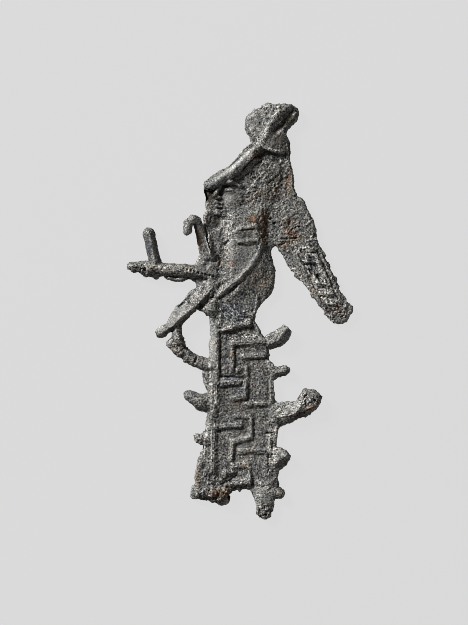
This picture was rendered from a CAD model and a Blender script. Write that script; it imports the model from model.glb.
"""A worn lead votive figurine of a helmeted goddess, lying on its flat back on a pale floor."""

import math

import bmesh
import bpy
import numpy as np
from mathutils import Matrix, Vector


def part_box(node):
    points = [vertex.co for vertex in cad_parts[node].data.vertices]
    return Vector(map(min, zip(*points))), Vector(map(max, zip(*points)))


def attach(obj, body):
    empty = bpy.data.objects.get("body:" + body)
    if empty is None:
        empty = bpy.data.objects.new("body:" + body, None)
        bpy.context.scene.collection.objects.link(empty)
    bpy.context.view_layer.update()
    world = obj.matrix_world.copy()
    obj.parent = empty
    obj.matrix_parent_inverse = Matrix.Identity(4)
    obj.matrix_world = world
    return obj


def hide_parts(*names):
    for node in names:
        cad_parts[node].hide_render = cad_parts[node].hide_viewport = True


MM = 0.001
NODE = "athena_figurine"

# Sizes in millimetres
WELD = 0.0005  # corners of the solid nearer than this are one
VOXEL = 0.1  # grain of the fine mesh
BACK_HEIGHT = 0.1  # the flat back is whatever lies lower than this
SCRATCH_RISE = 0.07
TOOTH_DEPTH = 0.03
FLOOR_RADIUS = 700
COVE_RADIUS = 300
WALL_HEIGHT = 900
PICTURE_HEIGHT = 104.17  # of what the camera takes in, at the relief's middle height
PICTURE_CENTRE = (-1, -0.25)
MIDDLE_HEIGHT = 1.4

MOST_TRIANGLES = 190000
CAST_ROUNDS = 6  # rounds of smoothing that take the fine mesh's steps away
SOFT_ROUNDS = 24  # and the solid's facets
HOLLOW_ROUNDS = 14  # and that even out the small hollows
RECESS_ROUNDS = 60  # and the broad ones
PIXEL_FILTER = 0.8  # in pixels, narrow enough to keep the grain sharp


def smooth_step(low, high, value):
    """0 up to low, 1 from high on, and an even S between them."""
    t = np.clip((value - low) / (high - low), 0, 1)
    return t * t * (3 - 2 * t)


# The mesh as arrays


def fine_mesh(node):
    """The casting's solid as an even fine mesh, in millimetres."""
    mesh = node.data.copy()
    mesh.transform(Matrix.Scale(1 / MM, 4))
    welded = bmesh.new()
    welded.from_mesh(mesh)
    bmesh.ops.remove_doubles(welded, verts=welded.verts, dist=WELD)
    welded.to_mesh(mesh)
    welded.free()
    return with_modifier(mesh, "REMESH", mode="VOXEL", voxel_size=VOXEL, adaptivity=0)


def with_modifier(mesh, kind, **settings):
    """A new mesh: the given one after one modifier."""
    holder = bpy.data.objects.new("holder", mesh)
    bpy.context.scene.collection.objects.link(holder)
    modifier = holder.modifiers.new(kind.title(), kind)
    for name, value in settings.items():
        setattr(modifier, name, value)
    shape = holder.evaluated_get(bpy.context.evaluated_depsgraph_get())
    made = bpy.data.meshes.new_from_object(shape)
    bpy.data.objects.remove(holder)
    return made


def read(mesh, name, width, source="vertices"):
    """One property of all vertices or edges, as rows of the given width."""
    items = getattr(mesh, source)
    values = np.zeros(len(items) * width, np.float32 if source == "vertices" else np.int32)
    items.foreach_get(name, values)
    return values.reshape(-1, width)


def place(mesh, points):
    """Moves the mesh's vertices to the points."""
    mesh.vertices.foreach_set("co", points.astype(np.float32).ravel())
    mesh.update()


def normals_of(mesh, points):
    """The vertex normals that the mesh has with its vertices moved to the points."""
    place(mesh, points)
    return read(mesh, "normal", 3).astype(float)


def neighbour_mean(values, edges, degree):
    """The mean of each vertex's neighbours, column by column."""
    out = np.empty_like(values)
    for k in range(values.shape[1]):
        total = np.bincount(edges[:, 0], values[edges[:, 1], k], len(values))
        total += np.bincount(edges[:, 1], values[edges[:, 0], k], len(values))
        out[:, k] = total / degree
    return out


def relaxed(points, edges, degree, rounds, keep_size=True):
    """Points smoothed over the mesh, with a push back after each step where the size is to be kept."""
    pull, push = 0.6, 0.63
    points = points.copy()
    for _ in range(rounds):
        points += pull * (neighbour_mean(points, edges, degree) - points)
        if keep_size:
            points -= push * (neighbour_mean(points, edges, degree) - points)
    return points


# Noise


def turned(points, seed):
    """Points turned in space, a different way for each seed, so that no noise follows the axes."""
    spin = Matrix.Rotation(seed * 1.3 + 0.4, 3, "X") @ Matrix.Rotation(seed * 0.9 + 0.5, 3, "Z")
    return points @ np.array(spin).T


def noise(points, size, seed):
    """Smooth noise from -1 to 1 with lumps about as wide as size."""
    side = 32  # cells until the lattice repeats
    lattice = np.random.default_rng(seed).uniform(-1, 1, (side, side, side))
    cell = turned(points, seed) / size
    low = np.floor(cell).astype(int)
    t = cell - low
    t = t * t * t * (t * (6 * t - 15) + 10)
    total = np.zeros(len(points))
    for corner in np.ndindex(2, 2, 2):
        at = (low + corner) % side
        share = np.prod(np.where(corner, t, 1 - t), axis=1)
        total += share * lattice[at[:, 0], at[:, 1], at[:, 2]]
    return total


def streaks(xy, turn, length, width, seed):
    """Noise drawn out along a direction, in degrees from +X."""
    c, s = math.cos(math.radians(turn)), math.sin(math.radians(turn))
    u = (xy[:, 0] * c + xy[:, 1] * s) / length
    v = (xy[:, 1] * c - xy[:, 0] * s) / width
    flat = np.column_stack([u, v, np.zeros(len(xy))])
    bend = np.array(Matrix.Rotation(0.02 * seed, 3, "Z"))
    lean = np.array(Matrix.Rotation(0.4, 3, "X"))
    return noise(flat @ bend.T @ lean.T, 1, seed)


# Places on the front, seen from above


def along(xy, path):
    """For each point: its distance to the path, and on which side it lies, + for the path's left."""
    path = np.asarray(path, float)
    nearest = np.full(len(xy), np.inf)
    side = np.zeros(len(xy))
    for a, b in zip(path[:-1], path[1:]):
        run = b - a
        t = np.clip((xy - a) @ run / (run @ run), 0, 1)
        off = xy - a - t[:, None] * run
        distance = np.hypot(off[:, 0], off[:, 1])
        closer = distance < nearest
        nearest[closer] = distance[closer]
        side[closer] = np.sign(run[0] * off[closer, 1] - run[1] * off[closer, 0])
    return nearest, side


def inside(xy, outline):
    """Signed distance to a closed outline, + inside."""
    outline = np.asarray(outline, float)
    closed = np.vstack([outline, outline[:1]])
    distance, _ = along(xy, closed)
    within = np.zeros(len(xy), bool)
    for a, b in zip(closed[:-1], closed[1:]):
        level = a[1] == b[1]
        if level:
            continue
        spans = (a[1] > xy[:, 1]) != (b[1] > xy[:, 1])
        crossing = a[0] + (xy[:, 1] - a[1]) * (b[0] - a[0]) / (b[1] - a[1])
        within ^= spans & (xy[:, 0] < crossing)
    return np.where(within, distance, -distance)


def spot(xy, centre, radii, turn=0):
    """1 in the middle of an ellipse and 0 from its rim outwards."""
    flat_share = 0.3
    off = xy - np.asarray(centre)
    c, s = math.cos(math.radians(turn)), math.sin(math.radians(turn))
    u = (off[:, 0] * c + off[:, 1] * s) / radii[0]
    v = (off[:, 1] * c - off[:, 0] * s) / radii[1]
    return 1 - smooth_step(flat_share, 1, np.hypot(u, v))


def cover(xy, marks):
    """The strongest of some marks at each point. A mark is (centre, radii, turn, strength)."""
    strength = np.zeros(len(xy))
    for centre, radii, turn, amount in marks:
        strength = np.maximum(strength, amount * spot(xy, centre, radii, turn))
    return strength


# Relief, as heights over the cast surface


def ridge(xy, path, half, rise):
    """A raised line of round section; a groove where rise is negative."""
    distance, _ = along(xy, path)
    return rise * (1 - smooth_step(0, half, distance))


def ledge(xy, path, rise, reach, drop):
    """A slope that climbs to the path's line from its left, and falls off steeply beyond it."""
    distance, side = along(xy, path)
    climb = np.clip(1 - distance / reach, 0, 1)
    fall = 1 - smooth_step(0, drop, distance)
    return rise * np.where(side >= 0, climb, fall)


def terrace(xy, outline, rise, edge):
    """A raised area with a slope around it as wide as edge; a hollow where rise is negative."""
    return rise * smooth_step(-edge / 2, edge / 2, inside(xy, outline))


def ridges(xy, *lines):
    """Raised lines and grooves together. A line is (path, half width, rise)."""
    return sum(ridge(xy, path, half, rise) for path, half, rise in lines)


def dents(xy, *marks):
    """Bumps, or hollows where the rise is negative. A mark is (centre, radii, turn, rise)."""
    return sum(rise * spot(xy, centre, radii, turn) for centre, radii, turn, rise in marks)


def near_ellipse(xy, centre, radii, margin):
    """Which points lie in an ellipse or in the margin around it."""
    return np.flatnonzero(np.hypot(*((xy - centre) / (radii + margin)).T) < 1)


def random_place(chance, centre, radii):
    """A place in an ellipse, with each part of it as likely."""
    around = chance.uniform(0, 2 * math.pi)
    return centre + radii * chance.uniform(0, 1) ** 0.5 * (math.cos(around), math.sin(around))


def striations(xy, centre, radii, area_turn, rise, turn, length, width, seed):
    """Fine streaks that fade out towards the rim of an ellipse."""
    return rise * spot(xy, centre, radii, area_turn) * streaks(xy, turn, length, width, seed)


def scratches(xy, centre, radii, turn, spread, count, length, half, seed):
    """Short straight strokes at random in an ellipse, all about one way: 1 on a stroke, 0 off it."""
    chance = np.random.default_rng(seed)
    centre, radii = np.asarray(centre), np.asarray(radii)
    near = near_ellipse(xy, centre, radii, length)
    found = np.zeros(len(near))
    for _ in range(count):
        angle = math.radians(turn + chance.uniform(-spread, spread))
        way = np.array((math.cos(angle), math.sin(angle)))
        middle = random_place(chance, centre, radii)
        run = way * length * chance.uniform(0.25, 0.5)
        distance, _ = along(xy[near], [middle - run, middle + run])
        found = np.maximum(found, 1 - smooth_step(0, half, distance))
    strokes = np.zeros(len(xy))
    strokes[near] = found
    return strokes


def pebbles(xy, centre, radii, count, size, rise, seed):
    """Small round bumps and pits at random in an ellipse."""
    chance = np.random.default_rng(seed)
    centre, radii = np.asarray(centre), np.asarray(radii)
    near = near_ellipse(xy, centre, radii, size)
    height = np.zeros(len(xy))
    for _ in range(count):
        middle = random_place(chance, centre, radii)
        wide = size * chance.uniform(0.5, 1)
        shape = (wide, wide * chance.uniform(0.5, 1))
        turn = chance.uniform(0, 180)
        height[near] += rise * chance.uniform(-1, 1) * spot(xy[near], middle, shape, turn)
    return height


# The robe's worn meander, as the middle lines of its ribs
MEANDER = [
    [(-1.3, -9.7), (-1.3, -5.2), (2, -5.2), (4.3, -5)],
    [(0.5, -7.4), (4, -7.2)],
    [(-0.5, -9.8), (1, -9.4), (1, -10.7)],
    [(0.9, -11.7), (0.9, -14.1), (-1.2, -14.5)],
    [(-3.2, -12), (0, -11.7)],
    [(1.3, -15.5), (5.2, -15.2)],
    [(1.8, -18), (1.8, -21), (-1.3, -21.7), (-1.5, -24.8)],
    [(-4, -19.2), (-2, -19), (0.2, -18.8)],
    [(0, -23.2), (5.5, -23.2)],
    [(-1.3, -25.7), (1.2, -25.5), (1.7, -26.5), (1.7, -28.2)],
]
# A rib is a low swell, with a sharper lip under each level stretch and a faint groove below it on its right
RIB_HALF, RIB_RISE = 0.8, 0.1
LIP_HALF, LIP_RISE, LIP_DROP = 0.4, 0.24, 0.42
GROOVE_HALF, GROOVE_RISE = 0.35, -0.04
GROOVE_OFFSET = (0.5, -0.85)

# Where fine scratches show pale on the metal:
# centre, radii, direction, spread, count, length, half width, seed
FINE_SCRATCHES = [
    ((-1.6, -0.4), (1.5, 1.4), -40, 30, 34, 1.5, 0.12, 61),
    ((0.9, -1), (1.2, 1.2), -15, 35, 24, 1.3, 0.12, 62),
    ((0.4, -4.3), (2.6, 0.5), -28, 14, 26, 0.9, 0.11, 63),
    ((-1.9, -11.2), (1.3, 0.5), 10, 40, 22, 0.9, 0.12, 64),
    ((6, 32.2), (1.2, 1), 45, 12, 6, 1.4, 0.11, 66),
]


def meander_relief(xy):
    """The meander's ribs, fuller in some places and nearly worn away in others."""
    ribs = np.zeros(len(xy))
    grooves = np.zeros(len(xy))
    for path in MEANDER:
        ribs = np.maximum(ribs, ridge(xy, path, RIB_HALF, RIB_RISE))
        grooves = np.minimum(grooves, ridge(xy, np.add(path, GROOVE_OFFSET), GROOVE_HALF, GROOVE_RISE))
        for start, end in zip(path[:-1], path[1:]):
            level = abs(end[0] - start[0]) > abs(end[1] - start[1])
            if level:
                lip = np.subtract((start, end), (0, LIP_DROP))
                ribs = np.maximum(ribs, ridge(xy, lip, LIP_HALF, LIP_RISE))
    flat = np.column_stack([xy, np.zeros(len(xy))])
    wear = 1 + 0.9 * noise(flat, 1.3, 51)
    return wear * (ribs + grooves)


def left_border_relief(xy):
    """The ribs and furrows of the skirt's left border, and the metal that widens it towards the field."""
    height = ridges(
        xy,
        ([(-4.9, -9), (-4.7, -14.6), (-4.75, -18)], 0.4, 0.14),
        ([(-4.7, -18.6), (-4.75, -26.8)], 0.35, 0.14),
        ([(-5, -19.5), (-5.1, -26.6)], 0.3, -0.1),
        ([(-5.8, -21.5), (-6, -26.6)], 0.35, 0.12),
        ([(-3.2, -5), (-3.3, -10.3)], 0.25, -0.06),
        ([(-3.55, -19), (-3.75, -24)], 0.35, -0.08),
    )
    upper_fill = [(-3.8, -1.5), (-3.42, -1.5), (-3.45, -12.3), (-3.8, -12.3)]
    height += terrace(xy, upper_fill, rise=0.28, edge=0.2)
    height += ledge(xy, [(-3.65, -12.3), (-3.65, -15.4)], rise=0.26, reach=1.1, drop=0.4)
    height += ledge(xy, [(-4.2, -15.4), (-4.2, -27)], rise=0.22, reach=0.8, drop=0.4)
    return height + dents(xy, ((-6, -25.9), (0.4, 0.8), 0, -0.22))


def right_border_relief(xy):
    """The ribs, furrows and one cut across the skirt's right border, with upright striations low down."""
    height = ridges(
        xy,
        ([(5, -11.6), (5.2, -15)], 0.3, 0.14),
        ([(4.6, -12), (4.7, -15)], 0.25, -0.1),
        ([(4.9, -24.8), (5, -28.6)], 0.4, 0.08),
        ([(5.4, -25.4), (5.4, -28.6)], 0.3, 0.12),
        ([(5.1, -20.6), (5, -22.6)], 0.4, 0.12),
        ([(4.4, -20.35), (5.5, -20.35)], 0.22, -0.28),
    )
    return height + striations(
        xy, (5.4, -25.4), (1.5, 4.6), 0, rise=0.16, turn=88, length=2.2, width=0.34, seed=42
    )


def belt_relief(xy):
    """The belt's lower edge, and the hollows between the two halves of the meander."""
    height = ridges(
        xy,
        ([(-2.8, -3), (-1, -2.5), (1.3, -2)], 0.7, 0.12),
        ([(-3.3, -11), (-1.4, -10.9), (0.4, -11.2)], 0.3, -0.2),
    )
    belt_end = [(-2.9, -3.1), (-1.2, -2.85), (-1.2, -3.2), (-2.9, -3.55)]
    height += terrace(xy, belt_end, rise=0.25, edge=0.2)
    return height + dents(xy, ((2.3, -3.4), (1, 0.5), -30, -0.12), ((0.7, -11), (0.6, 0.5), 20, -0.22))


def hem_relief(xy):
    """The pleats at the torn hem, and the lumps of the foot and of the broken leg."""
    height = ridges(
        xy,
        ([(1.9, -28.9), (3.4, -29.3), (5, -29)], 0.25, -0.12),
        ([(-2.2, -28.9), (0, -28.2), (1.6, -27.9)], 0.6, 0.15),
        ([(-5.5, -28.8), (-3.6, -28), (-2.2, -26.8)], 0.4, 0.14),
        ([(-3.2, -29), (-1.8, -28.3), (-0.6, -27.4)], 0.25, -0.14),
        ([(1.95, -26.6), (1.95, -28.8)], 0.22, -0.18),
    )
    height += dents(xy, ((-3, -27.6), (0.5, 0.4), 20, -0.18), ((-1.5, -28.2), (0.6, 0.3), 20, -0.18))
    height += pebbles(xy, (-3.6, -30.4), (3.6, 1.7), count=70, size=0.6, rise=0.24, seed=71)
    height += pebbles(xy, (-3.6, -27.8), (2.6, 1.2), count=24, size=0.5, rise=0.14, seed=72)
    return height + pebbles(xy, (4, -33.4), (1.4, 1.2), count=20, size=0.5, rise=0.2, seed=73)


def chest_relief(xy):
    """The chest's rounded middle with two short folds, the sash, and a ringed recess by the shoulder."""
    plateau = [
        (-1.6, 17.2), (3, 17), (3.9, 11.4), (2.6, 8.2), (0.8, 6.2), (-1.2, 4.6), (-1.9, 6), (-1.6, 12),
    ]
    sash = [
        (-3.8, 2.5), (-2.9, 3.3), (-1.5, 4.4), (0.1, 5.7), (1.5, 7.2), (2.6, 8.9), (3.1, 10.2), (3.5, 11.4),
    ]
    hook_stem = [(-5.9, 14.4), (-3.2, 13.8), (-3.2, 7.2), (-5.2, 7.2)]
    upper_fold = [(-0.3, 13.1), (0.5, 13.5), (1.6, 13.8), (2.6, 13.8)]
    lower_fold = [(-0.4, 11.5), (0.5, 11.1), (1.6, 11), (2.8, 11.3)]
    height = terrace(xy, plateau, rise=0.22, edge=2)
    height += terrace(xy, hook_stem, rise=0.5, edge=1.2)
    height += ledge(xy, sash, rise=0.12, reach=1.1, drop=0.6)
    height += ledge(xy, upper_fold, rise=0.14, reach=0.9, drop=0.35)
    height += ledge(xy, lower_fold, rise=0.22, reach=0.9, drop=0.35)
    height += ridges(
        xy,
        ([(-2.5, 11.1), (-1.9, 11.7)], 0.3, -0.3),
        ([(-3.6, 9.2), (-3.3, 8.3), (-3.4, 7.6)], 0.3, -0.25),
        ([(-5.4, 5.9), (-5, 5.9)], 0.4, -0.2),
        ([(-0.2, 13.2), (0.6, 13.5), (2.4, 13.7)], 0.28, -0.14),
        ([(-0.1, 11.1), (0.8, 10.9), (1.9, 10.95), (2.6, 11.2)], 0.38, -0.2),
        ([(3.8, 10.8), (3.9, 13.6), (3.6, 17)], 1, 0.22),
        ([(-2.3, 2.3), (-0.7, 3.5), (0.9, 4.9), (2.4, 6.6), (3.4, 8.8)], 2, 0.3),
        ([(-7.4, 8), (-6.4, 7.8), (-5.6, 8.6)], 0.6, 0.2),
        ([(-5.6, 14), (-5.1, 12.2)], 0.25, 0.16),
        ([(-5.3, 12.1), (-4.95, 10.6), (-4.6, 8.9)], 0.8, 0.5),
    )
    height += dents(
        xy,
        ((5.7, 14.6), (0.35, 0.3), 0, -0.32),
        ((5.1, 15.3), (0.3, 0.3), 0, -0.2),
        ((6.2, 12.6), (0.4, 0.3), 0, -0.15),
        ((-4.4, 15), (1.8, 1.9), 0, -0.2),
        ((3.9, 12.4), (0.5, 0.6), 0, -0.2),
    )
    ringed = spot(xy, (-4.3, 15), (2, 2.2))
    ring_gap, ring_rise = 0.6, 0.05
    rings = np.sin(np.hypot(xy[:, 0] + 4.4, (xy[:, 1] - 15.2) * 0.9) * 2 * math.pi / ring_gap)
    return height + ring_rise * ringed * rings


def waist_relief(xy):
    """A rounded hip on the left, soft pleats above the belt, and a worn edge on the right."""
    height = dents(xy, ((-4.7, 0.4), (1.2, 1.1), 0, 0.2), ((-3.7, 0.9), (0.6, 0.9), -30, -0.12))
    hip = [(-6.8, 0.2), (-6, -0.8), (-4.6, -1), (-3.6, 0), (-3.4, 1.4), (-4.2, 2.4), (-5, 2)]
    height += terrace(xy, hip, rise=0.7, edge=1.4)
    height += ridges(
        xy,
        ([(-3.1, 0.2), (-3.2, -1.4), (-3.3, -2.6)], 0.4, 0.16),
        ([(2.9, 2.4), (2.8, 1.2), (2.5, -0.3)], 0.35, 0.22),
        ([(3.5, 2.2), (3.3, 0.8)], 0.3, -0.15),
    )
    return height + striations(
        xy, (-0.6, -0.6), (3.6, 2.8), -15, rise=0.17, turn=-38, length=1.8, width=0.26, seed=43
    )


def head_relief(xy):
    """The cap's ledge, the hollow under the brim, the lip above it, and the lumps of the helmet's bowl."""
    under_brim = [(-6.1, 20.4), (-4.3, 20.2), (-4.7, 18.6), (-6.1, 18.2)]
    height = terrace(xy, under_brim, rise=-0.7, edge=0.7)
    height += ledge(xy, [(3.9, 27), (4.6, 26.9), (5.6, 26.6), (6.6, 26.4)], rise=0.16, reach=0.5, drop=0.3)
    height += ridges(
        xy,
        ([(7.6, 29.6), (7.8, 28.4), (8, 27)], 0.3, 0.18),
        ([(8.2, 28), (8.2, 26)], 0.25, -0.22),
        ([(7.6, 26.4), (7.6, 25.6)], 0.22, -0.2),
        ([(-2.8, 23.5), (-1.5, 24.2), (-0.4, 25.2), (0.8, 26.7), (2.3, 27.9)], 0.35, -0.45),
        ([(-1.5, 21.7), (-0.5, 22.2), (0.5, 23.2), (1.3, 24.1), (2.3, 25.3)], 1, 0.55),
        ([(2.8, 24.7), (4.6, 25.3), (6.4, 25)], 0.5, -0.16),
    )
    height += pebbles(xy, (4.6, 22.2), (3.4, 3.8), count=90, size=0.5, rise=0.13, seed=74)
    return height + striations(
        xy, (4, 20.8), (5, 4.6), 0, rise=0.1, turn=35, length=1.1, width=0.5, seed=44
    )


def crest_relief(xy):
    """The crest's raised spine, the hollow on its right, and the lumps of its torn left side."""
    height = ridges(
        xy,
        ([(3.5, 27.4), (3.9, 28.4), (4.6, 29.9), (4.9, 31.2), (5.7, 32.4), (6.6, 33.6)], 0.7, 0.18),
        ([(5.3, 31.4), (6.2, 32.5), (7.4, 33.6)], 0.7, 0.16),
        ([(3.4, 31.2), (3.6, 30.5)], 0.4, -0.2),
        ([(3.5, 33.6), (3.9, 34.2)], 0.3, -0.2),
        ([(5.9, 29.9), (7, 31.2), (8, 32.4), (8.8, 33.2)], 0.9, -0.4),
    )
    height += dents(
        xy,
        ((2.4, 32), (1.1, 0.9), 30, 0.1),
        ((2.3, 30), (0.8, 0.9), 0, 0.08),
        ((6.2, 33.9), (0.8, 0.5), 0, 0.14),
        ((7, 29.8), (1, 1), 0, 0.12),
    )
    height += pebbles(xy, (7.8, 32.4), (1.2, 1.4), count=20, size=0.4, rise=0.1, seed=75)
    return height + striations(
        xy, (3.2, 31.6), (3, 3), 0, rise=0.08, turn=55, length=1.2, width=0.5, seed=46
    )


def tail_relief(xy):
    """Slanting strokes near the shoulder, the gaps between the rungs, and furrows along the edges."""
    height = ridges(
        xy,
        ([(8.4, 15.5), (9.3, 16.1)], 0.45, -0.2),
        ([(8.1, 14.4), (8.3, 15)], 0.35, -0.22),
        ([(8.6, 13.5), (9.3, 13.9), (10, 14.1)], 0.28, -0.26),
        ([(11.2, 14.4), (11.7, 14.9)], 0.3, 0.16),
        ([(11, 11.6), (12, 12), (12.9, 11.9)], 0.3, 0.18),
        ([(9.9, 10.4), (11.4, 10.6), (12.8, 10.3)], 0.3, 0.22),
        ([(10.7, 8.4), (12, 8.2), (13.4, 8)], 0.28, 0.2),
        ([(12.9, 4.7), (14, 4.5), (15.1, 4.3)], 0.3, 0.22),
        ([(13.4, 3.1), (14.4, 3), (15.6, 2.8)], 0.3, 0.2),
        ([(14.6, 1.2), (16, 1.2)], 0.3, 0.16),
        ([(10.2, 9.9), (11.1, 9.7), (12.6, 9.7)], 0.24, -0.2),
        ([(10.8, 7.7), (11.8, 7.7), (13, 7.5)], 0.24, -0.22),
        ([(11.5, 6.9), (12.1, 6.2)], 0.35, -0.26),
        ([(12.8, 6), (13.3, 5.2)], 0.3, -0.22),
        ([(13.1, 4), (14.8, 3.7)], 0.24, -0.2),
        ([(13.5, 2.4), (15.3, 2.2)], 0.28, -0.28),
        ([(14.9, 0.8), (16.5, 0.8)], 0.24, -0.16),
        ([(16.2, -0.3), (17.9, -0.3)], 0.24, -0.16),
        ([(9.8, 9.3), (11, 7), (12.2, 4.4), (13.6, 1.8), (15, -0.4)], 0.35, -0.24),
        ([(12.9, 10), (14.2, 7.2), (15.4, 4.2), (16.3, 2)], 0.35, -0.22),
        ([(7, 12), (9.6, 12.2)], 0.3, -0.16),
        ([(6.6, 11), (7.6, 11.3)], 0.25, -0.24),
    )
    height += dents(
        xy,
        ((12.2, 8.8), (0.8, 0.4), -10, -0.16),
        ((11.9, 6.7), (0.5, 0.5), -20, -0.16),
        ((13, 5.6), (0.7, 0.4), -50, -0.12),
        ((12.6, 12.6), (0.5, 0.4), 0, -0.2),
        ((11.9, 12.4), (0.35, 0.3), 0, 0.25),
        ((10.3, 14.6), (0.5, 0.7), 0, -0.12),
    )
    return height + striations(
        xy, (13.4, 5.4), (2.4, 8.5), 27, rise=0.2, turn=-62, length=1.8, width=0.32, seed=45
    )


def limb_relief(xy):
    """The creases and broken faces of the arms, prongs and snakes."""
    height = ledge(xy, [(-14.1, 8.4), (-14.6, 10.4), (-15.1, 13)], rise=0.16, reach=0.8, drop=0.6)
    height += ridges(
        xy,
        ([(-6.9, 0.5), (-6.2, 1.6), (-5.2, 2.6)], 0.35, -0.3),
        ([(-10.2, 0.7), (-9.3, 1.5)], 0.22, -0.28),
        ([(-8.8, 1.9), (-8.1, 2.7), (-7.4, 3.5)], 0.3, -0.2),
        ([(-8.4, 1.4), (-7.9, 1), (-7.4, 0.9)], 0.25, -0.22),
        ([(-12.4, -2.3), (-11.8, -3)], 0.3, -0.14),
        ([(-7.2, -7.7), (-7.5, -8.5)], 0.25, -0.25),
        ([(-12, 5.5), (-10.6, 5.25), (-9.2, 5.4)], 0.5, 0.6),
        ([(6.3, -17.7), (8, -17.4), (9.1, -17), (9.9, -16.2), (10.5, -15), (10.9, -13.4)], 0.35, 0.16),
        ([(7.4, -18.4), (9.4, -17.9), (11.3, -16.9), (12.8, -15.4)], 1, 0.34),
        ([(9.4, -17.4), (11.2, -16.6), (12.7, -15.7)], 0.22, -0.18),
        ([(10.8, -14.2), (10.2, -15.6)], 0.25, -0.24),
        ([(-14.9, 8.6), (-15.4, 12.6)], 0.25, -0.1),
    )
    height += dents(
        xy,
        ((11, -14.1), (0.6, 0.4), 40, -0.32),
        ((11.6, -14.8), (0.9, 0.45), 35, 0.2),
        ((12.4, -14.9), (0.4, 0.2), 35, -0.2),
        ((-11, -4.6), (0.7, 0.7), 0, 0.2),
        ((-10.2, -6), (0.8, 0.5), 60, -0.2),
        ((-17, 6.8), (1.1, 0.6), 0, -0.25),
        ((-17.6, 7.6), (0.6, 0.5), 0, 0.25),
        ((-15.8, 7), (0.5, 0.7), 0, -0.2),
        ((-14.6, 6.3), (0.8, 0.6), 0, -0.2),
        ((-11.6, 5.6), (0.7, 0.4), 10, 0.2),
        ((-9.2, -7.2), (0.5, 0.7), 30, -0.16),
    )
    pits_below_arm = 9
    first_pit, pit_step = np.array((-9.3, 7.1)), np.array((0.6, -0.17))
    for k in range(pits_below_arm):
        height += dents(xy, (first_pit + k * pit_step, (0.26, 0.22), 0, -0.22))
    height += pebbles(xy, (-16.6, 6.9), (2, 0.9), count=24, size=0.5, rise=0.2, seed=76)
    height += pebbles(xy, (16.2, 0.3), (2.2, 1.8), count=30, size=0.6, rise=0.2, seed=77)
    height += pebbles(xy, (11.2, -16), (2, 0.6), count=20, size=0.35, rise=0.12, seed=78)
    return height + pebbles(xy, (-9.9, -6.2), (1.6, 1.8), count=20, size=0.6, rise=0.22, seed=79)


def face_point(back, down):
    """A point of the face, in thirds of its height behind the brow's front end and below it."""
    third, tilt = 2.6, math.radians(8)
    x = -3.3 + third * (back * math.cos(tilt) - down * math.sin(tilt))
    y = 21.3 - third * (back * math.sin(tilt) + down * math.cos(tilt))
    return x, y


def face_relief(xy):
    """The eye with its lids, the brow, the nostril and the lips, laid out on a face's usual thirds."""

    def path(*points):
        return [face_point(*point) for point in points]

    height = ridges(
        xy,
        (path((0.3, 0.42), (0.45, 0.28), (0.68, 0.24), (0.98, 0.4)), 0.2, 0.14),
        (path((0.34, 0.47), (0.62, 0.57), (0.94, 0.46)), 0.17, 0.1),
        (path((0.3, 0.24), (0.62, 0.1), (1.02, 0.26)), 0.2, -0.12),
        (path((0, 0.04), (0.55, -0.14), (1.2, 0.04)), 0.3, 0.12),
        (path((-0.1, 1.38), (0.16, 1.36), (0.42, 1.4)), 0.16, -0.05),
        (path((-0.06, 1.26), (0.3, 1.31)), 0.22, 0.03),
        (path((0.02, 1.5), (0.34, 1.48)), 0.3, 0.05),
        (path((0, 0.8), (0.3, 0.86), (0.3, 1.06), (0, 1.14)), 0.3, 0.12),
        (path((-0.1, 1.2), (0.4, 1.2)), 0.2, 0.08),
        (path((0, 1.68), (0.5, 1.7)), 0.3, 0.1),
    )
    height += dents(
        xy,
        (face_point(0.63, 0.4), (0.42, 0.32), 0, 0.12),
        (face_point(0.06, 0.99), (0.2, 0.14), 0, -0.1),
        (face_point(0.95, 0.95), (1, 0.9), 0, 0.1),
    )
    return height


def relief(xy):
    """The height of all the relief together."""
    parts = (
        meander_relief,
        left_border_relief,
        right_border_relief,
        belt_relief,
        hem_relief,
        chest_relief,
        waist_relief,
        head_relief,
        crest_relief,
        tail_relief,
        limb_relief,
        face_relief,
    )
    return sum(part(xy) for part in parts)


# Where the surface is worn smooth, and where it is badly corroded: centre, radii, turn, strength

CALM = [
    ((-11, -1), (4.6, 1.8), 45, 1),
    ((-14.7, 10.5), (1.4, 3.4), 8, 0.6),
    ((-7.3, 13), (2.2, 3.4), 0, 0.8),
    ((1.7, 8), (3.2, 1.1), 52, 0.8),
    ((-1.2, 24), (6, 1.3), 40, 1),
    ((-4.6, -6), (0.9, 6), 0, 0.8),
    ((6.2, 28.6), (1.6, 1.8), 0, 0.8),
    ((12, 3), (0.8, 5), 28, 0.4),
    ((9.3, -16), (2.6, 1.1), 15, 0.6),
    ((7, -3.5), (1.6, 1.2), 35, 0.5),
    ((7, -23.7), (1.4, 0.9), -30, 0.6),
    ((-2, 19.4), (2.6, 3), 0, 0.9),
    ((0, 10.4), (3.2, 7), -12, 0.5),
    ((-5.8, 7.6), (2.6, 2.2), 0, 0.5),
    ((3, 31.6), (2.8, 2.6), 0, 0.5),
    ((4, -30.6), (1.4, 2.6), 0, 0.4),
    ((1, -22), (3.6, 4), 0, 0.35),
]
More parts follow.
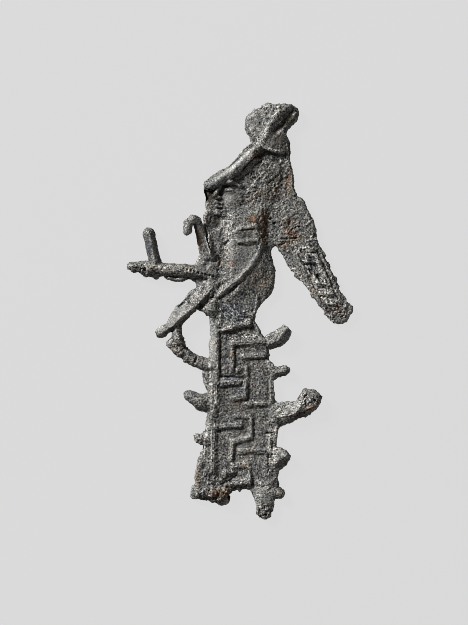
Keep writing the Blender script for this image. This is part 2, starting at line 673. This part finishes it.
ROUGH = [
    ((-4.5, -30.2), (3.9, 2), 0, 1.6),
    ((-5, -27.5), (2.4, 1.6), 0, 1),
    ((4, -33.8), (1.8, 1.3), 0, 1.4),
    ((-16, 6.8), (2.8, 1.3), 0, 1.2),
    ((4.6, 20.4), (4.5, 5), 0, 0.8),
    ((4.1, 14.2), (1.3, 4), 0, 1.3),
    ((16.3, 0), (2.4, 2), 0, 1),
    ((-7.2, -21.2), (1.4, 1.2), 0, 1.6),
    ((-9.6, -6), (2.4, 2.2), 0, 0.9),
    ((11.6, -15.2), (1.8, 1.8), 0, 1.1),
    ((9, 11.8), (2.6, 1), 0, 0.9),
    ((8.6, 14.6), (1.8, 2), 0, 0.7),
    ((2.6, 31.6), (2, 2.4), 0, 0.5),
]
# Where the outline is torn most
RAGGED = [
    ((13, 5), (6, 13), 28, 0.8),
    ((5, -12), (4, 12), 0, 0.4),
    ((-6.5, -22), (3, 9), 0, 0.7),
    ((-3, -31), (7, 3), 0, 0.9),
    ((4, -33.5), (3, 2.5), 0, 0.7),
    ((4, 33.8), (6, 2.4), 0, 0.8),
    ((-16, 6.5), (4, 2), 0, 0.7),
    ((-10, -5.5), (3.5, 4.5), 0, 0.7),
    ((10, -16.5), (5, 3), 0, 0.6),
    ((-5.6, 2), (2.5, 6), 0, 0.5),
]


# The corroded surface's lumps and grain, as depth, size and seed
LUMPS = [
    (0.06, 2.2, 1),
    (0.05, 1, 2),
    (0.035, 0.45, 3),
    (0.075, 0.22, 4),
]
# Its pits, as depth, size, seed and the noise where a pit begins and where it is deepest
PITS = [
    (0.1, 0.28, 5, 0.55, 0.85),
    (0.06, 0.6, 6, 0.6, 0.85),
]
# The bites out of its walls, as depth, size and seed, drawn out upwards by the fluting
BITES = [
    (0.3, 0.75, 7),
    (0.2, 0.38, 8),
]
FLUTING = 0.35
LEAST_RAGGED = 0.25


def roughen(points, normals):
    """How far the corroded surface stands off the cast one, along its normals."""
    xy = points[:, :2]
    corroded = 1 - 0.6 * cover(xy, CALM) + 0.7 * cover(xy, ROUGH)
    height = sum(depth * noise(points, size, seed) for depth, size, seed in LUMPS)
    for depth, size, seed, begin, end in PITS:
        height -= depth * smooth_step(begin, end, noise(points, size, seed))
    wall = 1 - smooth_step(0.3, 0.8, np.abs(normals[:, 2]))
    fluted = points * (1, 1, FLUTING)
    bites = sum(depth * noise(fluted, size, seed) for depth, size, seed in BITES)
    return height * corroded + bites * wall * (LEAST_RAGGED + cover(xy, RAGGED))


# Stains, as centre, radii, turn and strength

SOIL = [
    ((8.2, 21.3), (1.8, 3.8), -10, 0.9),
    ((4.4, 19.6), (3.6, 2), 0, 0.7),
    ((5, 23.4), (3.4, 1.8), 0, 0.5),
    ((4.0, 14.2), (1.3, 4.4), 0, 1.8),
    ((2.2, 15.4), (1.9, 1.2), 0, 1.1),
    ((8.2, 14.2), (1.9, 2.6), 0, 0.9),
    ((9, 12), (3.0, 1), 8, 1.0),
    ((7.5, 11), (1.6, 1), 20, 1.1),
    ((-3.5, 8.3), (0.6, 1.3), 0, 1.2),
    ((-1.8, 8.2), (1.6, 1.2), 0, 0.4),
    ((-1.3, -7.3), (0.8, 1.3), 0, 1.1),
    ((0.0, -15.2), (1.7, 0.9), 20, 1.0),
    ((-1.8, -16.5), (1.8, 1.2), 0, 0.7),
    ((1.4, -23.4), (1.5, 0.5), 0, 1.2),
    ((0.9, -25.6), (1.2, 0.5), 5, 1.1),
    ((-1.8, -27.2), (1.2, 0.8), 10, 0.7),
    ((-7.1, -27.5), (0.8, 3.2), 0, 1.0),
    ((-3.0, -30.4), (2.7, 1.8), 0, 1.0),
    ((-7, 12.2), (0.8, 2.8), 14, 1.8),
    ((12.2, 3.2), (0.7, 1.8), 30, 0.8),
    ((16.2, 0.2), (2.0, 1.6), 0, 0.7),
    ((-15, 7), (3.4, 1.2), 0, 0.6),
    ((-9, 7.2), (2.4, 0.8), 0, 0.4),
    ((-5.8, 3.2), (1.3, 1.6), 0, 0.5),
    ((3.4, 5.2), (3.2, 3.2), 0, 0.55),
    ((11, -16.3), (2.2, 0.6), 27, 1.5),
    ((9.5, -18), (1.8, 0.6), 20, 0.8),
    ((6.6, -30.6), (1, 0.8), 0, 0.8),
    ((-10.3, -6), (1.8, 1.6), 0, 0.6),
    ((11.9, 12.6), (0.8, 0.8), 0, 0.8),
    ((-9.4, -1.8), (1.8, 0.5), 45, 0.8),
]
RUST = [
    ((4, 14.8), (0.9, 3.2), 0, 0.9),
    ((5.6, 19.4), (2.6, 2), 20, 0.6),
    ((7.9, 22), (0.6, 2.6), 0, 0.8),
    ((8.6, 13), (1.6, 1.2), 0, 0.8),
    ((12, -16), (0.9, 0.4), 27, 1),
    ((-4, -30.4), (2.2, 1), 0, 0.6),
    ((0, -15.4), (0.8, 0.6), 20, 0.8),
    ((3.4, 4.4), (2, 2), 0, 0.5),
    ((-6, 2.8), (0.7, 1), 40, 0.7),
    ((2.9, 25.9), (1.1, 0.9), 40, 1.5),
    ((8.9, 15.5), (0.9, 0.4), 40, 1),
    ((8.2, 14.7), (0.4, 0.6), 0, 1.1),
    ((7.4, 11), (1.2, 0.6), 20, 0.6),
    ((1.8, 18.4), (1.8, 0.9), 0, 0.6),
    ((-3.4, 8), (0.5, 0.8), 0, 1.2),
    ((-1.6, 8.2), (1.4, 1.6), 0, 0.6),
    ((2.2, 15.2), (1.6, 0.9), 0, 0.8),
    ((-7, -27), (0.4, 0.8), 0, 0.7),
]
SLATE = [
    ((-15.2, 10.6), (0.8, 3.2), 8, 1.2),
    ((-10.6, 0), (1.8, 0.8), 45, 0.5),
    ((-4.6, 14.8), (1.6, 2), 0, 1.1),
    ((5.6, 14.6), (1.2, 1.4), 0, 0.7),
    ((3.2, 31), (2.4, 2), 0, 0.4),
    ((10, 15.6), (1, 1.6), 0, 0.5),
    ((-2.3, -8.2), (0.9, 4), 0, 0.6),
    ((-1.6, -11), (2.1, 0.9), 0, 1.8),
    ((-0.4, -13), (1.6, 1), 0, 1),
    ((0.3, 2.6), (1.9, 1.2), -20, 0.9),
    ((12.2, 7.6), (0.9, 2.6), 25, 1.8),
    ((-6.0, -25.9), (0.6, 1.0), 0, 1.2),
    ((-1.1, -0.2), (3.8, 2.8), -15, 1.2),
    ((-1.8, -14.4), (1.6, 1.2), 0, 0.7),
    ((2.0, -24.2), (2.6, 0.7), 0, 0.6),
    ((7, 23), (1.6, 2), 0, 0.6),
    ((-6.6, 5.8), (1.5, 0.5), 0, 0.9),
    ((11.3, -14.6), (1, 0.6), 40, 0.7),
]
# Where dark brown grime sits
GRIME = [
    ((-6.9, 12), (0.7, 2.8), 14, 1.8),
    ((-5, 19.2), (1.3, 1.6), 0, 2.2),
    ((7.4, 31.6), (2.4, 0.8), 48, 1.2),
    ((-4.5, 15), (1.6, 2.2), 0, 1.1),
    ((-3, -30.8), (2.8, 1.5), 0, 1),
    ((-5.4, -31.2), (2.4, 0.5), -10, 1),
    ((-1.4, -29.4), (1.6, 0.4), 15, 0.9),
    ((-9.2, -1.6), (2.4, 0.4), 45, 1.2),
    ((0.9, 4.6), (3.4, 0.5), 48, 0.7),
    ((10.4, -17.4), (2.4, 0.5), 25, 1),
    ((6.6, -5.6), (1.4, 0.3), 30, 0.9),
    ((7.6, -25.2), (0.4, 1), -40, 0.9),
    ((4.2, 14), (0.8, 3.6), 0, 0.8),
    ((5.6, 22), (3.2, 3.6), 0, 0.75),
    ((14.9, 7.4), (4.6, 0.6), -64, 0.9),
    ((11.8, 8.4), (0.9, 0.6), -10, 0.8),
    ((12, 6.4), (0.8, 0.8), -50, 1),
    ((0.9, -3.2), (1.4, 0.3), 12, 1),
    ((0, -0.8), (3.2, 2), -15, 0.45),
    ((4, 4.6), (2.2, 3.4), 0, 0.2),
    ((4.7, 3.2), (0.8, 2.6), -25, 0.6),
    ((1, 12.4), (2, 3.6), 0, 0.5),
    ((7.9, 32), (1.5, 2), -40, 1.3),
    ((6.4, 28.8), (1.6, 1.8), 0, 0.7),
]
# Where the metal is worn pale
PALE = [
    ((7.2, -23.6), (1.3, 0.9), -30, 0.6),
    ((-4.9, -8), (1.3, 9), 0, 1.2),
    ((-4.4, -15), (0.9, 3), 0, 1),
    ((-5.2, -22), (1.3, 6), 0, 0.9),
    ((5.4, -21.8), (1.3, 5.4), 0, 1.7),
    ((5.6, -13.6), (0.8, 2.6), 0, 0.7),
    ((11.6, -14.8), (0.9, 0.5), 35, 1),
    ((11.2, -17), (1.8, 0.25), 26, 0.8),
    ((-5.4, 5.7), (0.6, 0.5), 0, 0.9),
    ((3.8, -31), (1.9, 3), 0, 1.8),
    ((8.4, -16.2), (4, 1.4), 20, 0.9),
    ((-0.6, 24.4), (5, 0.8), 40, 1),
    ((-5.35, 13.1), (0.25, 1.1), 14, 1),
    ((-13.4, 7.8), (5, 0.8), -3, 0.8),
    ((-2, 12), (1.6, 5), 0, 0.5),
    ((0.4, -23.6), (4.2, 5.4), 0, 0.35),
    ((12.8, 6), (2.4, 9), 27, 0.85),
    ((-14.4, 10.5), (0.4, 2.6), 8, 0.7),
    ((5.6, 26.75), (1.5, 0.25), -12, 1),
    ((10.4, 5), (4.6, 0.5), -56, 0.7),
    ((-11, 5.3), (1.7, 0.5), -5, 1.2),
    ((-5.8, 2.9), (0.8, 0.8), 0, 0.6),
    ((11.9, 12.4), (0.4, 0.35), 0, 1.4),
    ((13.1, 5.9), (0.3, 0.2), 0, 1.6),
    ((12.4, 6.7), (0.25, 0.2), 0, 1.6),
    ((12.6, 9.1), (0.3, 0.2), 0, 1.3),
    ((-1.4, -2.7), (2.6, 0.6), 12, 0.3),
    ((3.9, 28), (0.6, 1.4), -20, 0.6),
    ((-6.8, 8.4), (1.4, 1.2), 0, 0.6),
    ((0, -28.4), (2, 0.6), 20, 0.5),
    ((-8.8, -14.4), (1.2, 0.8), 30, 0.3),
]


def stain(points, marks, seed):
    """How much a stain covers each point: its patches, broken up by noise."""
    gain, threshold = 1.3, 0.5
    strength = cover(points[:, :2], marks)
    broken = 0.4 * noise(points, 0.9, seed) + 0.7 * noise(points, 0.3, seed + 1)
    return np.clip(strength * gain + broken - threshold, 0, 1) * (strength > 0)


# The figurine

# How much of the cast's crisp detail some areas keep, and their outlines
CRISP = [
    (0.45, [(-3.4, -4), (6, -4), (6, -15), (-3, -15)]),
    (0.22, [(-3, -15), (6, -15), (6, -29), (-2.6, -29)]),
    (0.45, [(-5.4, 22), (-0.6, 21.4), (0.2, 18), (-3.2, 15.4), (-5.4, 16.4)]),
    (0.45, [(5.6, -22), (9, -22), (9, -28), (5.6, -28)]),
    (0.45, [(5.5, -1.5), (9, -1.5), (9, -7), (5.5, -7)]),
    (0.45, [(-14.6, -4.8), (-14.6, -2), (-9, 2.6), (-6, 1)]),
]
CRISP_EDGE = 0.8
# The part of the skirt whose steps all count as front, unless they overhang
SKIRT_FIELD = [
    (-4.9, -1.8), (3, -1.8), (4.6, -5), (4.6, -14), (5.6, -22), (5.6, -28.4), (1, -28.4), (-5.2, -26.6),
]
FIELD_EDGE = 0.5
OVERHANG = -0.3


def softened(cast, edges, degree):
    """The heights of the cast surface with its facets rounded off, less so in the crisp areas."""
    height = cast[:, 2:]
    soft = relaxed(height, edges, degree, SOFT_ROUNDS, keep_size=False)
    soft += relaxed(height - soft, edges, degree, SOFT_ROUNDS, keep_size=False)
    crisp = np.zeros(len(cast))
    for keep, outline in CRISP:
        crisp = np.maximum(crisp, terrace(cast[:, :2], outline, keep, CRISP_EDGE))
    return soft[:, 0] + (height - soft)[:, 0] * crisp


def facing(points, normals, low, high):
    """How much each point belongs to the front: 1 there, 0 on the outer walls and the back."""
    front = smooth_step(low, high, normals[:, 2])
    field = smooth_step(0, FIELD_EDGE, inside(points[:, :2], SKIRT_FIELD))
    return np.maximum(front, field * (normals[:, 2] > OVERHANG))


def scratched(xy):
    """1 on a fine scratch, 0 off it."""
    strokes = np.zeros(len(xy))
    for patch in FINE_SCRATCHES:
        strokes = np.maximum(strokes, scratches(xy, *patch))
    return strokes


def worn_surface(mesh, edges, degree):
    """Each vertex's place on the worn surface, and how much of a fine scratch shows there."""
    points = read(mesh, "co", 3).astype(float)
    cast = relaxed(points, edges, degree, CAST_ROUNDS)
    front = facing(cast, normals_of(mesh, cast), low=0.05, high=0.4)
    cast[:, 2] += (softened(cast, edges, degree) - cast[:, 2]) * front
    front = facing(cast, normals_of(mesh, cast), low=0.15, high=0.6)
    strokes = scratched(cast[:, :2])
    cast[:, 2] += (relief(cast[:, :2]) + SCRATCH_RISE * strokes) * front
    normals = normals_of(mesh, cast)
    worn = cast + normals * roughen(cast, normals)[:, None]
    worn[points[:, 2] < BACK_HEIGHT, 2] = 0
    return worn, strokes * front


def add_values(mesh, worn, strokes, edges, degree):
    """Moves the vertices to the worn surface, and gives each the values that its colour depends on."""
    smooth = relaxed(worn, edges, degree, HOLLOW_ROUNDS, keep_size=False)
    broad = relaxed(smooth, edges, degree, RECESS_ROUNDS, keep_size=False)
    normals = normals_of(mesh, worn)
    values = {
        "hollow": ((smooth - worn) * normals).sum(1),
        "recess": ((broad - smooth) * normals).sum(1),
        "soil": stain(worn, SOIL, 11),
        "rust": stain(worn, RUST, 31),
        "slate": stain(worn, SLATE, 21),
        "grime": stain(worn, GRIME, 51),
        "pale": cover(worn[:, :2], PALE),
        "scratch": strokes,
        "calm": cover(worn[:, :2], CALM),
    }
    for name, amounts in values.items():
        layer = mesh.attributes.new(name, "FLOAT", "POINT")
        layer.data.foreach_set("value", amounts.astype(np.float32))


def figurine(node):
    """The whole casting as one piece, with its back flat and nothing past the solid's box."""
    mesh = fine_mesh(node)
    edges = read(mesh, "vertices", 2, "edges")
    degree = np.bincount(edges.ravel(), minlength=len(mesh.vertices)).astype(float)
    worn, strokes = worn_surface(mesh, edges, degree)
    add_values(mesh, worn, strokes, edges, degree)
    triangles = sum(len(face.vertices) - 2 for face in mesh.polygons)
    if triangles > MOST_TRIANGLES:
        mesh = with_modifier(mesh, "DECIMATE", ratio=MOST_TRIANGLES / triangles)
    low, high = (np.array(corner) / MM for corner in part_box(NODE))
    place(mesh, np.clip(read(mesh, "co", 3), low, high))
    mesh.transform(Matrix.Scale(MM, 4))
    mesh.polygons.foreach_set("use_smooth", np.ones(len(mesh.polygons), bool))
    mesh.materials.clear()
    mesh.materials.append(lead())
    piece = bpy.data.objects.new("lead_casting", mesh)
    bpy.context.scene.collection.objects.link(piece)
    return piece


# Materials


class Look:
    """A material and its nodes. A colour is a tuple or the output of another node."""

    def __init__(self, name):
        self.material = bpy.data.materials.new(name)
        self.material.use_nodes = True
        self.nodes = self.material.node_tree.nodes
        self.links = self.material.node_tree.links
        self.shader = self.nodes["Principled BSDF"]

    def value(self, name):
        """One of the vertices' own values."""
        node = self.nodes.new("ShaderNodeAttribute")
        node.attribute_name = name
        return node.outputs["Fac"]

    def texture(self, size, detail, roughness=0.6):
        """Noise from 0 to 1, with lumps of a size in millimetres."""
        place = self.nodes.new("ShaderNodeTexCoord")
        node = self.nodes.new("ShaderNodeTexNoise")
        node.inputs["Scale"].default_value = 1 / (size * MM)
        node.inputs["Detail"].default_value = detail
        node.inputs["Roughness"].default_value = roughness
        self.links.new(place.outputs["Object"], node.inputs["Vector"])
        return node.outputs["Fac"]

    def rescale(self, source, low, high, to_low=0.0, to_high=1.0):
        """The source with its range from low to high stretched to another range."""
        node = self.nodes.new("ShaderNodeMapRange")
        node.inputs["From Min"].default_value = low
        node.inputs["From Max"].default_value = high
        node.inputs["To Min"].default_value = to_low
        node.inputs["To Max"].default_value = to_high
        self.links.new(source, node.inputs["Value"])
        return node.outputs["Result"]

    def share(self, name, without, fully):
        """An amount that follows a value of the vertices: without where that is 0, fully where it is 1."""
        return self.rescale(self.value(name), 0, 1, without, fully)

    def ramp(self, source, *stops):
        """A colour for each value of the source. A stop is (value, colour)."""
        node = self.nodes.new("ShaderNodeValToRGB")
        while len(node.color_ramp.elements) < len(stops):
            node.color_ramp.elements.new(0.5)
        for element, (position, colour) in zip(node.color_ramp.elements, stops):
            element.position = position
            element.color = (*colour, 1)
        self.links.new(source, node.inputs["Fac"])
        return node.outputs["Color"]

    def multiply(self, under, over, amount=1.0):
        """One colour times another, by an amount from 0 to 1."""
        node = self.nodes.new("ShaderNodeMix")
        node.data_type = "RGBA"
        node.blend_type = "MULTIPLY"
        factor, under_socket, over_socket = (node.inputs[k] for k in (0, 6, 7))
        if isinstance(amount, float):
            factor.default_value = amount
        else:
            self.links.new(amount, factor)
        self.links.new(under, under_socket)
        if isinstance(over, tuple):
            over_socket.default_value = (*over, 1)
        else:
            self.links.new(over, over_socket)
        return node.outputs[2]


def bare_lead(look):
    """Uneven grey, paler on edges and darker in small hollows and broad recesses."""
    patches = look.ramp(
        look.texture(1.6, 4, 0.7),
        (0.32, (0.092, 0.093, 0.092)),
        (0.45, (0.136, 0.135, 0.13)),
        (0.55, (0.157, 0.15, 0.137)),
        (0.7, (0.198, 0.191, 0.178)),
    )
    worn = look.ramp(
        look.rescale(look.value("hollow"), -0.06, 0.09),
        (0, (1.35, 1.35, 1.35)),
        (0.4, (1, 1, 1)),
        (1, (0.25, 0.24, 0.22)),
    )
    recess = look.ramp(
        look.rescale(look.value("recess"), -0.1, 0.25),
        (0, (1.1, 1.1, 1.1)),
        (0.28, (1, 1, 1)),
        (1, (0.4, 0.39, 0.37)),
    )
    return look.multiply(look.multiply(patches, worn), recess)


def with_grain(look, colour):
    """The grain of the corroded surface, with bright and dark specks, both weaker where it is calm."""
    grain = look.ramp(
        look.texture(0.22, 1),
        (0.34, (0.06, 0.06, 0.055)),
        (0.67, (1.9, 1.9, 1.9)),
    )
    specks = look.ramp(
        look.texture(0.3, 1),
        (0.3, (1.4, 1.42, 1.45)),
        (0.38, (1, 1, 1)),
        (0.62, (1, 1, 1)),
        (0.7, (0.25, 0.23, 0.2)),
    )
    colour = look.multiply(colour, grain, look.share("calm", without=1, fully=0.5))
    return look.multiply(colour, specks, look.share("calm", without=0.6, fully=0.15))


def with_stains(look, colour):
    """Mottled slate, soil and rust, then even grime, pale wear and scratches."""
    mottled = {
        "slate": (0.3, (0.35, (0.2, 0.23, 0.29)), (0.65, (0.66, 0.71, 0.8))),
        "soil": (0.4, (0.35, (0.42, 0.3, 0.2)), (0.5, (0.84, 0.65, 0.46)), (0.68, (1.45, 1.12, 0.8))),
        "rust": (0.3, (0.35, (0.4, 0.22, 0.15)), (0.65, (1.5, 0.88, 0.62))),
    }
    for name, (size, *stops) in mottled.items():
        stain_colour = look.ramp(look.texture(size, 2), *stops)
        colour = look.multiply(colour, stain_colour, look.share(name, without=0, fully=0.9))
    even = {
        "grime": (0.38, 0.33, 0.24),
        "pale": (1.8, 1.8, 1.78),
        "scratch": (2.8, 2.8, 2.85),
    }
    for name, tint in even.items():
        colour = look.multiply(colour, tint, look.value(name))
    return colour


def lead():
    """Grey weathered lead, slightly metallic where no soil covers it, with a fine tooth."""
    look = Look("weathered_lead")
    colour = with_stains(look, with_grain(look, bare_lead(look)))
    metal = look.share("soil", without=0.35, fully=0.05)
    roughness = look.rescale(look.texture(0.6, 2), low=0.3, high=0.7, to_low=0.52, to_high=0.72)
    tooth = look.nodes.new("ShaderNodeBump")
    tooth.inputs["Strength"].default_value = 1
    tooth.inputs["Distance"].default_value = TOOTH_DEPTH * MM
    look.links.new(look.texture(0.14, 3, 0.7), tooth.inputs["Height"])
    look.links.new(colour, look.shader.inputs["Base Color"])
    look.links.new(metal, look.shader.inputs["Metallic"])
    look.links.new(roughness, look.shader.inputs["Roughness"])
    look.links.new(tooth.outputs["Normal"], look.shader.inputs["Normal"])
    return look.material


def pale_sheet():
    """A pale matt sheet that glows, as on a light table, so that almost no shadow shows on it."""
    look = Look("pale_sheet")
    look.shader.inputs["Base Color"].default_value = (0.02, 0.02, 0.02, 1)
    look.shader.inputs["Roughness"].default_value = 1
    look.shader.inputs["Specular IOR Level"].default_value = 0
    look.shader.inputs["Emission Color"].default_value = (1, 1, 1, 1)
    look.shader.inputs["Emission Strength"].default_value = 0.68
    return look.material


# The stage


def floor():
    """A round floor that curves up into a wall, so that it fills every view."""
    sides = 64
    profile = [(0.001, 0), (FLOOR_RADIUS / 2, 0)]
    for angle in range(0, 91, 10):
        a = math.radians(angle)
        profile.append((FLOOR_RADIUS + COVE_RADIUS * math.sin(a), COVE_RADIUS * (1 - math.cos(a))))
    profile.append((FLOOR_RADIUS + COVE_RADIUS, WALL_HEIGHT))
    around = [2 * math.pi * k / sides for k in range(sides)]
    points = [(r * math.cos(a) * MM, r * math.sin(a) * MM, z * MM) for r, z in profile for a in around]
    faces = []
    for ring in range(len(profile) - 1):
        here, above = ring * sides, (ring + 1) * sides
        for k in range(sides):
            next_k = (k + 1) % sides
            faces.append((here + k, above + k, above + next_k, here + next_k))
    faces.append(tuple(range(sides)))
    mesh = bpy.data.meshes.new("floor")
    mesh.from_pydata(points, [], faces)
    mesh.polygons.foreach_set("use_smooth", [True] * len(mesh.polygons))
    mesh.materials.append(pale_sheet())
    sheet = bpy.data.objects.new("floor", mesh)
    bpy.context.scene.collection.objects.link(sheet)
    sheet.visible_diffuse = False
    sheet.visible_glossy = False
    sheet.visible_shadow = False


def area_light(name, azimuth, elevation, distance, size, power):
    """A soft square light aimed at the figurine, in metres and watts. Azimuth 0 is +X, and 90 is +Y."""
    data = bpy.data.lights.new(name, "AREA")
    data.size = size
    data.energy = power
    light = bpy.data.objects.new(name, data)
    a, e = math.radians(azimuth), math.radians(elevation)
    way = Vector((math.cos(a) * math.cos(e), math.sin(a) * math.cos(e), math.sin(e)))
    light.location = way * distance
    light.rotation_euler = way.to_track_quat("Z", "Y").to_euler()
    bpy.context.scene.collection.objects.link(light)


def lights():
    """A key light from the upper left, a weak low fill across from it, and even light all around."""
    area_light("key", azimuth=140, elevation=30, distance=0.6, size=0.16, power=7)
    area_light("fill", azimuth=320, elevation=5, distance=0.6, size=0.3, power=0.4)
    world = bpy.data.worlds.new("studio")
    bpy.context.scene.world = world
    world.use_nodes = True
    surroundings = world.node_tree.nodes["Background"]
    surroundings.inputs["Color"].default_value = (1, 1, 1, 1)
    surroundings.inputs["Strength"].default_value = 0.12


def camera():
    """A long lens straight above the figurine."""
    data = bpy.data.cameras.new("camera")
    data.lens = 120
    distance = PICTURE_HEIGHT * data.lens / data.sensor_width
    data.clip_start = 0.01
    data.clip_end = 10
    above = bpy.data.objects.new("camera", data)
    x, y = PICTURE_CENTRE
    above.location = (x * MM, y * MM, (distance + MIDDLE_HEIGHT) * MM)
    bpy.context.scene.collection.objects.link(above)
    bpy.context.scene.camera = above


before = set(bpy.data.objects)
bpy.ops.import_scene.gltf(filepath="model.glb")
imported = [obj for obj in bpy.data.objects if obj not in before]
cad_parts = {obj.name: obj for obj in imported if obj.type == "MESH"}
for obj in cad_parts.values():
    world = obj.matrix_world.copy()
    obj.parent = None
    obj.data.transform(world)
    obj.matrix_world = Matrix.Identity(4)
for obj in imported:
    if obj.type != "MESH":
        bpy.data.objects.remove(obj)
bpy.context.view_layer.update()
bpy.context.scene.view_settings.view_transform = "Standard"
bpy.context.scene.cycles.filter_width = PIXEL_FILTER
casting = figurine(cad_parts[NODE])
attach(casting, "root")
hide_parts(NODE)
floor()
lights()
camera()
